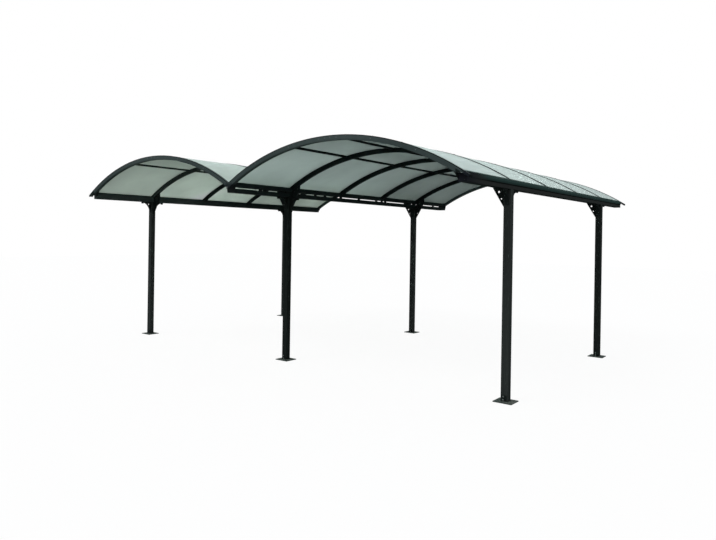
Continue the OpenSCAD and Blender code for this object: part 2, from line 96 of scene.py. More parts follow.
@dataclass(frozen=True)
class Layout:
    """The carport's main places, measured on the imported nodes.

    Attributes:
        row_pitch: Distance between the rows of posts.
        post_half: Half a post's width.
        post_y: Distance of the posts from the middle along Y.
        plate_top: Height of the base plates' top.
        clear_height: Height of the gutters' underside.
        gutter_top: Height of the outer gutters' top.
        gutter_inner_x: Inner side of the right gutter.
        gutter_outer_x: Outer side of it.
        gutter_front_y: Its front end.
        half_length: Distance of the end arches' faces from the middle.
        end_arch_width: Width of an end arch along Y.
        nose_x: Tip of the right end arches' noses.
        arch_width: Width of an inner arch along Y.
        strip_width: Width of a cover strip.
        strip_thick: Height of a cover strip over the sheets.
        sheet_thick: Thickness of the roof sheets.
        sheet_edge_x: Gutter edge of the right canopy's sheets.
        valley_edge_x: Their valley edge.
        roof_radius: Radius of the roof's outside, over the strips.
        axis_z: Height of the roof's axis.
        bays: Number of bays.
    """

    row_pitch: float
    post_half: float
    post_y: float
    plate_top: float
    clear_height: float
    gutter_top: float
    gutter_inner_x: float
    gutter_outer_x: float
    gutter_front_y: float
    half_length: float
    end_arch_width: float
    nose_x: float
    arch_width: float
    strip_width: float
    strip_thick: float
    sheet_thick: float
    sheet_edge_x: float
    valley_edge_x: float
    roof_radius: float
    axis_z: float
    bays: int = 5

    @classmethod
    def measure(cls) -> "Layout":
        """Reads the boxes of the CAD nodes.

        The roof's radius follows from half its chord c and its rise h: (c^2 + h^2) / 2h.

        Returns:
            The layout in metres.
        """
        post_low, post_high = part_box("post_right_front")
        gutter_low, gutter_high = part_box("gutter_right")
        end_low, end_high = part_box("front_arch_right")
        arch_low, arch_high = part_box("arch_right_1")
        sheet_low, sheet_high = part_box("roof_sheet_right_3")
        strip_low, strip_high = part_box("cover_strips_right")
        row = (post_low.x + post_high.x) / 2
        half = (post_high.x - post_low.x) / 2
        half_chord = row / 2 + half
        rise = end_high.z - gutter_high.z
        radius = (half_chord ** 2 + rise ** 2) / (2 * rise)
        bay = -2 * end_low.y / cls.bays
        return cls(
            row_pitch=row,
            post_half=half,
            post_y=-(post_low.y + post_high.y) / 2,
            plate_top=post_low.z,
            clear_height=gutter_low.z,
            gutter_top=gutter_high.z,
            gutter_inner_x=gutter_low.x,
            gutter_outer_x=gutter_high.x,
            gutter_front_y=gutter_low.y,
            half_length=-end_low.y,
            end_arch_width=end_high.y - end_low.y,
            nose_x=end_high.x,
            arch_width=arch_high.y - arch_low.y,
            strip_width=strip_high.y - strip_low.y - (cls.bays - 2) * bay,
            strip_thick=strip_high.z - sheet_high.z,
            sheet_thick=sheet_high.z - arch_high.z,
            sheet_edge_x=sheet_high.x,
            valley_edge_x=sheet_low.x,
            roof_radius=radius,
            axis_z=end_high.z - radius,
        )

    @property
    def bay(self) -> float:
        """Distance from one arch to the next."""
        return 2 * self.half_length / self.bays

    @property
    def crown_x(self) -> float:
        """Place along X of the right canopy's crown."""
        return self.row_pitch / 2

    @property
    def sheet_outer(self) -> float:
        """Radius of the roof sheets' outer skin."""
        return self.roof_radius - self.strip_thick

    @property
    def sheet_inner(self) -> float:
        """Radius of the roof sheets' inner skin."""
        return self.sheet_outer - self.sheet_thick

    def row_x(self, side: Side) -> float:
        """Place along X of one row of posts."""
        return side.value * self.row_pitch

    def arch_y(self, number: int) -> float:
        """Place along Y of one arch, counted from 0 at the front."""
        return number * self.bay - self.half_length

    def inner_arch_ys(self) -> list[float]:
        """Places along Y of the arches between the two ends."""
        return [self.arch_y(number) for number in range(1, self.bays)]

    def angle_at(self, place_x: float) -> float:
        """Angle from upright, about the roof's axis, of a place on the right canopy."""
        return math.asin((place_x - self.crown_x) / self.roof_radius)

    def both_ways(self, offsets: tuple[float, ...]) -> Array:
        """Angles of places at these distances on both sides of the crown."""
        one = np.arcsin(np.array(offsets) / self.roof_radius)
        return np.concatenate([-one[::-1], one])

    def height_at(self, radius: float, place_x: Array) -> Array:
        """Heights of an arc over places along X: z = axis + sqrt(r^2 - (x - crown)^2)."""
        return self.axis_z + np.sqrt(radius ** 2 - (place_x - self.crown_x) ** 2)

    def on_vault(self, radius: Array, angle: Array, place_y: Array) -> Array:
        """Points of the right canopy: x = crown + r sin a, y = y, z = axis + r cos a.

        Args:
            radius: Distances from the roof's axis.
            angle: Angles from upright.
            place_y: Places along Y.

        Returns:
            The points, with the arrays' shape and a last axis of 3.
        """
        radius, angle, place_y = np.broadcast_arrays(radius, angle, place_y)
        return np.stack([self.crown_x + radius * np.sin(angle), place_y,
                         self.axis_z + radius * np.cos(angle)], axis=-1)

    def vault_normals(self, angle: Array) -> Array:
        """Unit normals of the right canopy at these angles from upright."""
        return self.on_vault(1.0, angle, 0.0) - self.on_vault(0.0, angle, 0.0)


# ---- Mesh work -----------------------------------------------------------------------


@dataclass(frozen=True)
class Surface:
    """A mesh as arrays: corners in metres, and faces of four corners each."""

    points: Array
    faces: Array

    def outward(self) -> "Surface":
        """The same closed surface with its faces turned outwards.

        The volume under each face is a sixth of corner . (second x third + third x fourth);
        a negative sum means that the faces point inwards.

        Returns:
            The surface, or a copy with every face turned over.
        """
        first, second, third, fourth = (self.points[self.faces[:, i]] for i in range(4))
        fans = np.cross(second, third) + np.cross(third, fourth)
        if np.einsum("ij,ij->", first, fans) > 0:
            return self
        return Surface(self.points, self.faces[:, ::-1])

    def mirrored(self, axis: int) -> "Surface":
        """The surface seen in a mirror across one axis.

        Args:
            axis: 0 for X, 1 for Y, 2 for Z.

        Returns:
            The mirrored surface, its faces still outwards.
        """
        flip = np.ones(3)
        flip[axis] = -1.0
        return Surface(self.points * flip, self.faces[:, ::-1])

    def doubled(self, axis: int) -> "Surface":
        """The surface together with its mirror image across one axis."""
        return Surface.joined([self, self.mirrored(axis)])

    def moved(self, *offset: float) -> "Surface":
        """The surface moved by an offset."""
        return Surface(self.points + np.array(offset), self.faces)

    def copies(self, places: Array, turns: Array | None = None) -> "Surface":
        """The surface repeated at many places.

        Args:
            places: K by 3 places of its origin.
            turns: K by 3 by 3 turning matrices, or None to leave it unturned.

        Returns:
            All copies as one surface.
        """
        points = self.points[None]
        if turns is not None:
            points = np.einsum("kij,nj->kni", turns, self.points)
        starts = np.arange(len(places)) * len(self.points)
        return Surface((points + places[:, None, :]).reshape(-1, 3),
                       (self.faces[None] + starts[:, None, None]).reshape(-1, 4))

    @staticmethod
    def joined(parts: "list[Surface]") -> "Surface":
        """Several surfaces as one."""
        starts = np.cumsum([0] + [len(part.points) for part in parts[:-1]])
        return Surface(np.concatenate([part.points for part in parts]),
                       np.concatenate([part.faces + start
                                       for part, start in zip(parts, starts)]))

    def piece(self, name: str) -> bpy.types.Object:
        """Makes a Blender object of the surface that rides on the frame.

        Args:
            name: The piece's name.

        Returns:
            The new object.
        """
        mesh = bpy.data.meshes.new(name)
        mesh.from_pydata(self.points.tolist(), [], self.faces.tolist())
        mesh.polygons.foreach_set("use_smooth", np.full(len(mesh.polygons), True))
        mesh.set_sharp_from_angle(angle=math.radians(SHARP_DEGREES))
        mesh.update()
        made = bpy.data.objects.new(name, mesh)
        bpy.context.scene.collection.objects.link(made)
        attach(made, "root")
        return made


def carried(rings: Array) -> Surface:
    """A closed skin over rings of points: a profile carried along a path.

    Face (j, i) joins points i and i + 1 of ring j to those of ring j + 1. Each end is
    closed by a ladder of quads that joins point i to point n - 1 - i.

    Args:
        rings: J by N by 3 points, N even, each ring closed on itself.

    Returns:
        The closed surface, facing outwards.
    """
    count, around = rings.shape[:2]
    row, column = np.meshgrid(np.arange(count - 1) * around, np.arange(around), indexing="ij")
    following = (column + 1) % around
    side = np.stack([row + column, row + following, row + around + following,
                     row + around + column], axis=-1).reshape(-1, 4)
    step = np.arange(around // 2 - 1)
    ladder = np.stack([step, step + 1, around - 2 - step, around - 1 - step], axis=-1)
    faces = np.concatenate([side, ladder[:, ::-1], ladder + (count - 1) * around])
    return Surface(rings.reshape(-1, 3), faces).outward()


def turned(radii: Array, heights: Array, steps: int) -> Surface:
    """A turned piece: x = r cos a, y = r sin a, z = h, for a full round of angles.

    Args:
        radii: The profile's radii, none of them nought.
        heights: The profile's heights.
        steps: Number of steps in a round; 6 makes a hexagon.

    Returns:
        The closed surface.
    """
    angle = np.arange(steps) * TAU / steps
    radius = np.asarray(radii)[:, None]
    height = np.asarray(heights)[:, None]
    return carried(np.stack([radius * np.cos(angle), radius * np.sin(angle),
                             height + 0 * angle], axis=-1))


def straight(profile: Array, axis: int, start: float, end: float) -> Surface:
    """A profile of N points carried straight along one axis.

    Args:
        profile: N by 2 points in the two other axes, in their order.
        axis: The axis to run along.
        start: Where the piece starts on that axis.
        end: Where it ends.

    Returns:
        The closed surface.
    """
    rings = np.insert(np.stack([profile, profile]), axis, 0.0, axis=2)
    rings[0, :, axis] = start
    rings[1, :, axis] = end
    return carried(rings)


def box_profile(low: Pair, high: Pair) -> Array:
    """Four corners of an oblong, from its lowest and highest corner."""
    return np.array([[low[0], low[1]], [high[0], low[1]], [high[0], high[1]],
                     [low[0], high[1]]])


def facing(normals: Array) -> Array:
    """Turning matrices that carry +Z to each normal.

    Args:
        normals: K by 3 unit normals.

    Returns:
        K by 3 by 3 matrices whose third column is the normal.
    """
    lying = np.abs(normals[:, 2:3]) < NEARLY_UPRIGHT
    helper = np.where(lying, [[0.0, 0.0, 1.0]], [[1.0, 0.0, 0.0]])
    first = np.cross(helper, normals)
    first /= np.linalg.norm(first, axis=1, keepdims=True)
    return np.stack([first, np.cross(normals, first), normals], axis=-1)


def along_vault(layout: Layout, profile: Array, from_x: float, to_x: float) -> Surface:
    """A profile carried along the right canopy's arc.

    Args:
        layout: The carport's places.
        profile: N by 2 points of radius and place along Y, N even.
        from_x: Where the piece starts along X, at the roof's outer radius.
        to_x: Where it ends.

    Returns:
        The closed surface.
    """
    angle = np.linspace(layout.angle_at(from_x), layout.angle_at(to_x), ARC_STEPS + 1)
    return carried(layout.on_vault(profile[None, :, 0], angle[:, None], profile[None, :, 1]))


# ---- Screws and bolts ----------------------------------------------------------------


class Fixing(Enum):
    """The kinds of fixing and the round boss, each a stack of turned shapes on one axis.

    A shape is (radii, heights, steps) in millimetres, heights from the seat. Each starts a
    little inside what it sits on, so that no gap shows.
    """

    WASHER_SCREW = (
        ((9.0, 9.0, 8.4), (-0.5, 0.8, 1.2), 20),
        ((5.0, 5.0, 4.2, 2.4), (1.0, 2.4, 3.2, 3.6), 16),
    )
    HEX_BOLT = (
        ((8.0, 8.0, 7.5), (-0.5, 1.3, 1.6), 16),
        ((7.1, 7.6, 7.6, 6.9), (1.4, 1.8, 5.9, 6.9), 6),
    )
    ROOF_SCREW = (
        ((7.0, 7.0, 6.0), (-0.5, 0.6, 0.9), 16),
        ((4.6, 4.6, 3.4), (0.8, 2.0, 2.6), 16),
    )
    PAN_SCREW = (
        ((5.5, 5.5, 4.7, 2.6), (-0.5, 1.0, 1.9, 2.4), 16),
    )
    FLUSH_SCREW = (
        ((5.0, 5.0, 4.4), (-0.5, 0.5, 0.9), 16),
        ((2.1, 1.9), (0.8, 1.1), 6),
    )
    OUTLET_BOSS = (
        ((12.0, 12.0, 11.0), (-0.5, 1.2, 1.8), 24),
        ((6.0, 6.0, 5.2), (1.6, 2.4, 2.8), 16),
    )

    def set_at(self, places: Array, normals: Array) -> Surface:
        """Puts one fixing at each place.

        Args:
            places: K by 3 places of the seats.
            normals: K by 3 unit directions away from the seats.

        Returns:
            All of them as one surface.
        """
        shapes = [turned(np.array(radii) * MM, np.array(heights) * MM, steps)
                  for radii, heights, steps in self.value]
        return Surface.joined(shapes).copies(places, facing(normals))


def grid_places(xs: Array, ys: Array, zs: Array) -> Array:
    """Every mix of three lists of places, as K by 3 points."""
    return np.stack(np.meshgrid(xs, ys, zs, indexing="ij"), axis=-1).reshape(-1, 3)


def same_normal(places: Array, *normal: float) -> Array:
    """One normal repeated for each place."""
    return np.tile(np.array(normal, dtype=float), (len(places), 1))


def end_normals(places: Array) -> Array:
    """Normals along Y that point away from y = 0.

    Args:
        places: K by 3 places, none of them at y = 0.

    Returns:
        K by 3 unit normals.
    """
    normals = np.zeros_like(places)
    normals[:, 1] = np.sign(places[:, 1])
    return normals


# ---- Shader nodes --------------------------------------------------------------------


class Socket(Enum):
    """Kinds of socket on a shader group."""

    VALUE = "NodeSocketFloat"
    COLOUR = "NodeSocketColor"


class Graph:
    """A node tree with short calls to add and join nodes."""

    MIX_FACTOR, MIX_FIRST, MIX_SECOND, MIX_RESULT = 0, 6, 7, 2

    def __init__(self, tree: bpy.types.NodeTree) -> None:
        """Keeps the tree that the calls write to."""
        self.tree = tree

    def node(self, kind: str, **facts: object) -> bpy.types.Node:
        """Adds a node.

        Args:
            kind: The node's Blender type name without its ShaderNode prefix.
            **facts: Properties to set, or input sockets where no property has the name.

        Returns:
            The new node.
        """
        made = self.tree.nodes.new(kind if kind.startswith("Node") else "ShaderNode" + kind)
        for key, value in facts.items():
            if hasattr(made, key):
                setattr(made, key, value)
            else:
                made.inputs[key.replace("_", " ")].default_value = value
        return made

    def join(self, source: bpy.types.NodeSocket, target: bpy.types.NodeSocket) -> None:
        """Links an output socket to an input socket."""
        self.tree.links.new(source, target)

    def feed(self, value: Plug, target: bpy.types.NodeSocket) -> None:
        """Joins a socket to an input, or sets a constant on it.

        Args:
            value: An output socket, a number or a colour.
            target: The input socket.
        """
        if isinstance(value, bpy.types.NodeSocket):
            self.join(value, target)
        else:
            target.default_value = value

    def place(self) -> bpy.types.NodeSocket:
        """The Object coordinates."""
        return self.node("TexCoord").outputs["Object"]

    def parts(self, vector: bpy.types.NodeSocket) -> bpy.types.NodeOutputs:
        """Parts a vector into its X, Y and Z.

        Args:
            vector: The vector's socket.

        Returns:
            The three outputs, by name or number.
        """
        made = self.node("SeparateXYZ")
        self.join(vector, made.inputs[0])
        return made.outputs

    def noise(self, vector: bpy.types.NodeSocket, **facts: float) -> bpy.types.NodeSocket:
        """Adds a noise texture.

        Args:
            vector: Its coordinates.
            **facts: Its scale, detail and roughness, by the names of their sockets.

        Returns:
            The noise's value.
        """
        made = self.node("TexNoise", **facts)
        self.join(vector, made.inputs["Vector"])
        return made.outputs["Fac"]

    def maths(self, operation: str, first: Plug, second: Plug = 0.0) -> bpy.types.NodeSocket:
        """Adds a Math node.

        Args:
            operation: What it works out, in Blender's word.
            first: Its first number.
            second: Its second number, where it takes one.

        Returns:
            The result.
        """
        made = self.node("Math", operation=operation)
        self.feed(first, made.inputs[0])
        self.feed(second, made.inputs[1])
        return made.outputs[0]

    def between(self, share: Plug, first: Plug, second: Plug) -> bpy.types.NodeSocket:
        """Adds first + share * (second - first).

        Args:
            share: 0 for the first number, 1 for the second.
            first: A number.
            second: Another number.

        Returns:
            The number between them.
        """
        span = self.maths("SUBTRACT", second, first)
        return self.maths("ADD", first, self.maths("MULTIPLY", share, span))

    def blend(self, factor: Plug, first: Plug, second: Plug) -> bpy.types.NodeSocket:
        """Adds a mix of two colours.

        Args:
            factor: 0 for the first colour, 1 for the second.
            first: A colour.
            second: Another colour.

        Returns:
            The mixed colour.
        """
        made = self.node("Mix", data_type="RGBA")
        self.feed(factor, made.inputs[self.MIX_FACTOR])
        self.feed(first, made.inputs[self.MIX_FIRST])
        self.feed(second, made.inputs[self.MIX_SECOND])
        return made.outputs[self.MIX_RESULT]

    def ramp(self, source: bpy.types.NodeSocket, low: float, high: float,
             onto: Pair = (0.0, 1.0)) -> bpy.types.NodeSocket:
        """Stretches a value between two limits onto two others, and clamps it.

        Args:
            source: The value.
            low: What becomes the first of onto.
            high: What becomes the second of onto.
            onto: The result's limits.

        Returns:
            The stretched value.
        """
        made = self.node("MapRange")
        made.inputs["From Min"].default_value = low
        made.inputs["From Max"].default_value = high
        made.inputs["To Min"].default_value, made.inputs["To Max"].default_value = onto
        self.join(source, made.inputs["Value"])
        return made.outputs["Result"]

    def mixed_shader(self, factor: bpy.types.NodeSocket, first: bpy.types.Node,
                     second: bpy.types.Node) -> bpy.types.Node:
        """Adds a mix of two shaders.

        Args:
            factor: 0 for the first shader, 1 for the second.
            first: A shader's node.
            second: Another shader's node.

        Returns:
            The mixing node.
        """
        made = self.node("MixShader")
        for source, target in zip((factor, first.outputs[0], second.outputs[0]), made.inputs):
            self.join(source, target)
        return made


def new_material(name: str) -> tuple[bpy.types.Material, Graph, bpy.types.Node]:
    """Makes a material with Blender's usual shader.

    Args:
        name: The material's name.

    Returns:
        The material, its graph and its shader.
    """
    material = bpy.data.materials.new(name)
    material.use_nodes = True
    tree = material.node_tree
    return material, Graph(tree), tree.nodes["Principled BSDF"]


def new_group(name: str, inputs: dict[str, Socket],
              outputs: dict[str, Socket]) -> tuple[Graph, bpy.types.Node, bpy.types.Node]:
    """Makes an empty shader group with named sockets.

    Args:
        name: The group's name.
        inputs: Socket name to its kind.
        outputs: Socket name to its kind.

    Returns:
        The group's graph, its input node and its output node.
    """
    tree = bpy.data.node_groups.new(name, "ShaderNodeTree")
    for way, sockets in (("INPUT", inputs), ("OUTPUT", outputs)):
        for title, kind in sockets.items():
            tree.interface.new_socket(title, in_out=way, socket_type=kind.value)
    graph = Graph(tree)
    return graph, graph.node("NodeGroupInput"), graph.node("NodeGroupOutput")


# ---- Finishes ------------------------------------------------------------------------


@dataclass(frozen=True)
class PowderCoat:
    """Powder coat: a fine orange-peel grain, a soft mottle, and dust on upward faces.

    A pair of limits says which values of a noise, or of a face's upward normal, give no
    effect and the full effect.
    """

    grain_scale: float = 900.0
    grain_detail: float = 2.0
    cloud_scale: float = 7.0
    cloud_detail: float = 5.0
    cloud_roughness: float = 0.6
    cloud_limits: Pair = (0.35, 0.7)
    streak_stretch: Triple = (45.0, 45.0, 2.0)
    streak_detail: float = 4.0
    streak_limits: Pair = (0.45, 0.75)
    streak_lightness: float = 1.8
    upward_limits: Pair = (0.25, 1.0)
    dust_colour: Rgba = (0.2, 0.2, 0.18, 1)
    dust_roughness: float = 0.5

    def group(self) -> bpy.types.NodeTree:
        """Builds the shader group.

        Returns:
            A group with outputs Colour, Roughness and Height.
        """
        graph, into, out = new_group(
            "powder_coat",
            {"Colour": Socket.COLOUR, "Dust": Socket.VALUE, "Mottle": Socket.VALUE,
             "Roughness": Socket.VALUE},
            {"Colour": Socket.COLOUR, "Roughness": Socket.VALUE, "Height": Socket.VALUE},
        )
        place = graph.place()
        grain = graph.noise(place, Scale=self.grain_scale, Detail=self.grain_detail)
        cloud = graph.noise(place, Scale=self.cloud_scale, Detail=self.cloud_detail,
                            Roughness=self.cloud_roughness)
        drag = graph.node("Mapping")
        drag.inputs["Scale"].default_value = self.streak_stretch
        graph.join(place, drag.inputs["Vector"])
        streak = graph.noise(drag.outputs["Vector"], Scale=1.0, Detail=self.streak_detail)
        normal = graph.parts(graph.node("NewGeometry").outputs["Normal"])
        flat = graph.ramp(normal["Z"], *self.upward_limits)
        patch = graph.ramp(cloud, *self.cloud_limits)
        dust = graph.maths("MULTIPLY", graph.maths("MULTIPLY", flat, patch),
                           into.outputs["Dust"])
        runs = graph.maths("MULTIPLY", graph.ramp(streak, *self.streak_limits),
                           into.outputs["Mottle"])
        lighter = graph.node("HueSaturation", Value=self.streak_lightness)
        graph.join(into.outputs["Colour"], lighter.inputs["Color"])
        body = graph.blend(runs, into.outputs["Colour"], lighter.outputs["Color"])
        graph.join(graph.blend(dust, body, self.dust_colour), out.inputs["Colour"])
        mottled = graph.maths("ADD", into.outputs["Roughness"],
                              graph.maths("MULTIPLY", patch, into.outputs["Mottle"]))
        dusty = graph.maths("ADD", mottled, graph.maths("MULTIPLY", dust, self.dust_roughness))
        graph.join(dusty, out.inputs["Roughness"])
        graph.join(grain, out.inputs["Height"])
        return graph.tree


@dataclass(frozen=True)
class Zone:
    """A block of space where a paint takes another colour for painted light and shade,
    soft-edged.

    Attributes:
        colour: The paint's colour in the block.
        x: Where the block starts and ends along X.
        y: The same along Y.
        z: The same along Z.
        soft: Half the width of the soft edge along each axis.
    """

    colour: Triple
    x: Pair = (-FAR, FAR)
    y: Pair = (-FAR, FAR)
    z: Pair = (-FAR, FAR)
    soft: Triple = (CRISP, CRISP, CRISP)

    def mask(self, graph: Graph) -> Plug:
        """Adds nodes that are 1 inside the block and 0 outside.

        Args:
            graph: The material's graph.

        Returns:
            The mask.
        """
        place = graph.parts(graph.place())
        inside: Plug = 1.0
        for axis, (low, high) in enumerate((self.x, self.y, self.z)):
            for edge, half in ((low, self.soft[axis]), (high, -self.soft[axis])):
                if math.isfinite(edge):
                    step = graph.ramp(place[axis], edge - half, edge + half)
                    inside = graph.maths("MULTIPLY", step, inside)
        return inside


@dataclass(frozen=True)
class Paint:
    """A powder coat on metal, or the plain finish of a bolt or a rubber.

    Attributes:
        name: The material's name.
        colour: Its colour.
        slot: The record's slot that it stands for; not used.
        metallic: How much of it is bare metal.
        roughness: Its roughness where it is clean.
        ior: Strength of its gloss.
        dust: Most dust on its upward faces.
        mottle: Strength of its streaks and patches.
        grain: Strength of its orange peel.
        grain_depth: Depth of its orange peel.
    """

    name: str
    colour: Triple
    slot: str = ""
    metallic: float = 0.0
    roughness: float = 0.42
    ior: float = 1.12
    dust: float = 0.25
    mottle: float = 0.15
    grain: float = 0.04
    grain_depth: float = 0.0004

    def make(self, group: bpy.types.NodeTree, zones: tuple[Zone, ...]) -> bpy.types.Material:
        """Builds the material.

        Args:
            group: The powder coat group.
            zones: Where the paint takes another colour as painted light and shade, the last on
                top.

        Returns:
            The finished material.
        """
        material, graph, shader = new_material(self.name)
        body: Plug = (*self.colour, 1)
        for zone in zones:
            body = graph.blend(zone.mask(graph), body, (*zone.colour, 1))
        coat = graph.node("Group")
        coat.node_tree = group
        graph.feed(body, coat.inputs["Colour"])
        coat.inputs["Dust"].default_value = self.dust
        coat.inputs["Mottle"].default_value = self.mottle
        coat.inputs["Roughness"].default_value = self.roughness
        shader.inputs["IOR"].default_value = self.ior
        shader.inputs["Metallic"].default_value = self.metallic
        graph.join(coat.outputs["Colour"], shader.inputs["Base Color"])
        graph.join(coat.outputs["Roughness"], shader.inputs["Roughness"])
        bump = graph.node("Bump", Strength=self.grain, Distance=self.grain_depth)
        graph.join(coat.outputs["Height"], bump.inputs["Height"])
        graph.join(bump.outputs["Normal"], shader.inputs["Normal"])
        return material


@dataclass(frozen=True)
class ClearSheet:
    """A smoke-tinted twin-wall roof sheet that scatters the sky's light.

    The tint is multiplied by a gain by place: painted light where the sheets are made
    brighter, and painted shade at the back.
    Pairs along X or Y are where a change starts and ends.

    Attributes:
        name: The material's and the slot's name.
        tint: Colour of the right canopy.
        left_tint: Colour of the left canopy.
        seam: Where the right canopy's colour gives way to the left one's, along X.
        patch_scale: Scale of the soft patches.
        patch_detail: Their detail.
        patch_roughness: Roughness of their noise.
        patch_limits: Values of the noise that give the darkest and lightest patch.
        patchy: Share by which the patches darken and lighten the tint.
        valley_gain: Painted light: gain of the right canopy at the front of its valley side.
        slope: Where the valley side gives way to the outer side, along X.
        fade: Where the valley side's gain fades, along Y.
        back: Where the painted shade at the back sets in, along Y.
        back_painted_shade: Painted shade at the back, taken off the gain.
        outer_best: Where the outer side is lightest, along Y.
        outer_gain: Painted light: share that it gains there, less by as much for each metre off.
        left_fade: Where the left canopy's gain fades to nothing, along X.
        left_start: Place along X and Y where that gain is nought.
        left_rise: Its rise for each metre along X and Y.
        left_most: The most that it multiplies the tint by.
        roughness: Roughness of the scattering.
        transmission: Share of the light that passes through.
        ior: Strength of the scattering's gloss.
        coat: Weight of the clear outer skin.
        coat_roughness: Roughness of the outer skin.
    """

    name: str
    tint: Triple
    left_tint: Triple
    seam: Pair = (0.2, -0.2)
    patch_scale: float = 1.6
    patch_detail: float = 4.0
    patch_roughness: float = 0.55
    patch_limits: Pair = (0.3, 0.7)
    patchy: float = 0.15
    valley_gain: float = 1.17
    slope: Pair = (2.2, 1.6)
    fade: Pair = (0.1, -1.9)
    back: Pair = (0.1, 0.7)
    back_painted_shade: float = 0.28
    outer_best: float = -1.1
    outer_gain: float = 0.14
    left_fade: Pair = (-0.8, -1.3)
    left_start: Pair = (-2.2, -2.0)
    left_rise: Pair = (0.18, 0.25)
    left_most: float = 1.28
    roughness: float = 0.50
    transmission: float = 0.9
    ior: float = 1.45
    coat: float = 1.0
    coat_roughness: float = 0.21

    def make(self) -> bpy.types.Material:
        """Builds the material.

        Returns:
            The finished material.
        """
        material, graph, shader = new_material(self.name)
        place = graph.place()
        cloud = graph.noise(place, Scale=self.patch_scale, Detail=self.patch_detail,
                            Roughness=self.patch_roughness)
        patches = graph.ramp(cloud, *self.patch_limits, (1 - self.patchy, 1 + self.patchy))
        across = graph.parts(place)
        leftward = graph.ramp(across["X"], *self.seam)
        # Painted shade: the sheets are made darker towards the back.
        loss = graph.maths("MULTIPLY", graph.ramp(across["Y"], *self.back), self.back_painted_shade)
        # Painted light and shade: the gain lightens and darkens each canopy by place.
        gain = graph.between(leftward, self.right_painted_light_gain(graph, across, loss),
                             self.left_painted_light_gain(graph, across, loss))
        light = graph.node("HueSaturation")
        graph.join(graph.blend(leftward, (*self.tint, 1), (*self.left_tint, 1)),
                   light.inputs["Color"])
        graph.join(graph.maths("MULTIPLY", patches, gain), light.inputs["Value"])
        graph.join(light.outputs["Color"], shader.inputs["Base Color"])
        shader.inputs["Roughness"].default_value = self.roughness
        shader.inputs["Transmission Weight"].default_value = self.transmission
        shader.inputs["IOR"].default_value = self.ior
        shader.inputs["Coat Weight"].default_value = self.coat
        shader.inputs["Coat Roughness"].default_value = self.coat_roughness
        return material

    def right_painted_light_gain(self, graph: Graph, across: bpy.types.NodeOutputs,
                   loss: bpy.types.NodeSocket) -> bpy.types.NodeSocket:
        """Painted light of the right canopy, lightest at the front of its valley side.

        Valley side: 1 + (valley_gain - 1) * near - loss. Outer side:
        1 + outer_gain * (1 - distance from outer_best).

        Args:
            graph: The material's graph.
            across: The parts of the Object coordinates.
            loss: Painted shade at the back.

        Returns:
            A factor on the tint's value.
        """
        near = graph.maths("MULTIPLY", graph.ramp(across["Y"], *self.fade),
                           self.valley_gain - 1.0)
        away = graph.maths("ABSOLUTE", graph.maths("SUBTRACT", across["Y"], self.outer_best))
        outer = graph.maths("MULTIPLY", graph.maths("SUBTRACT", 1.0, away), self.outer_gain)
        valley = graph.maths("SUBTRACT", near, loss)
        change = graph.between(graph.ramp(across["X"], *self.slope), outer, valley)
        return graph.maths("ADD", 1.0, change)

    def left_painted_light_gain(self, graph: Graph, across: bpy.types.NodeOutputs,
                  loss: bpy.types.NodeSocket) -> bpy.types.NodeSocket:
        """Painted light of the left canopy, which grows lighter with x and y on its outer side.

        Outer side: 1 + rise_x * (x - start_x) + rise_y * (y - start_y), at most left_most.
        The valley side has none, and the whole is multiplied by 1 - loss.

        Args:
            graph: The material's graph.
            across: The parts of the Object coordinates.
            loss: Painted shade at the back.

        Returns:
            A factor on the tint's value.
        """
        rise: Plug = 1.0
        for axis, (start, slope) in enumerate(zip(self.left_start, self.left_rise)):
            off = graph.maths("SUBTRACT", across[axis], start)
            rise = graph.maths("ADD", rise, graph.maths("MULTIPLY", off, slope))
        rise = graph.maths("MINIMUM", rise, self.left_most)
        clear = graph.between(graph.ramp(across["X"], *self.left_fade), 1.0, rise)
        return graph.maths("MULTIPLY", clear, graph.maths("SUBTRACT", 1.0, loss))


POST_PAINT = Paint("post_paint", (0.028, 0.032, 0.031), ior=1.08, dust=0.1)
ARCH_PAINT = Paint("arch_paint", (0.0065, 0.0095, 0.0095), dust=0.05)
GUTTER_PAINT = Paint("gutter_paint", (0.013, 0.019, 0.0185), ior=1.06, dust=0.1)
BRACKET_PAINT = Paint("bracket_paint", (0.010, 0.0135, 0.013), dust=0.1)
END_ARCH_PAINT = Paint("end_arch_paint", (0.040, 0.054, 0.053), dust=0.15)
PLATE_PAINT = Paint("base_plate_paint", (0.042, 0.056, 0.051), roughness=0.5, dust=0.5)
STRIP_PAINT = Paint("strip_paint", (0.018, 0.026, 0.026), dust=0.2)
FRAME_PAINTS = (POST_PAINT, ARCH_PAINT, GUTTER_PAINT, BRACKET_PAINT, END_ARCH_PAINT,
                PLATE_PAINT, STRIP_PAINT)
ZINC = Paint("zinc", (0.12, 0.13, 0.125), slot="base_plate_paint", metallic=0.5,
             roughness=0.45, ior=1.45, dust=0.3)
ZINC_DULL = Paint("zinc_dull", (0.12, 0.13, 0.13), slot="strip_paint", metallic=0.6,
                  roughness=0.5, ior=1.45)
BOLT_BLACK = Paint("bolt_black", (0.012, 0.014, 0.014), slot="bracket_paint",
                   roughness=0.35, ior=1.3)
RUBBER = Paint("rubber", (0.0045, 0.006, 0.006), slot="strip_paint", roughness=0.7, dust=0.1)
EDGE_PROFILE = Paint("edge_profile", (0.018, 0.046, 0.040), slot="strip_paint", dust=0.1)
TRIM_PAINTS = (ZINC, ZINC_DULL, BOLT_BLACK, RUBBER, EDGE_PROFILE)
ROOF_SHEET = ClearSheet("roof_sheet", (0.62, 0.735, 0.70), (0.66, 0.775, 0.69))


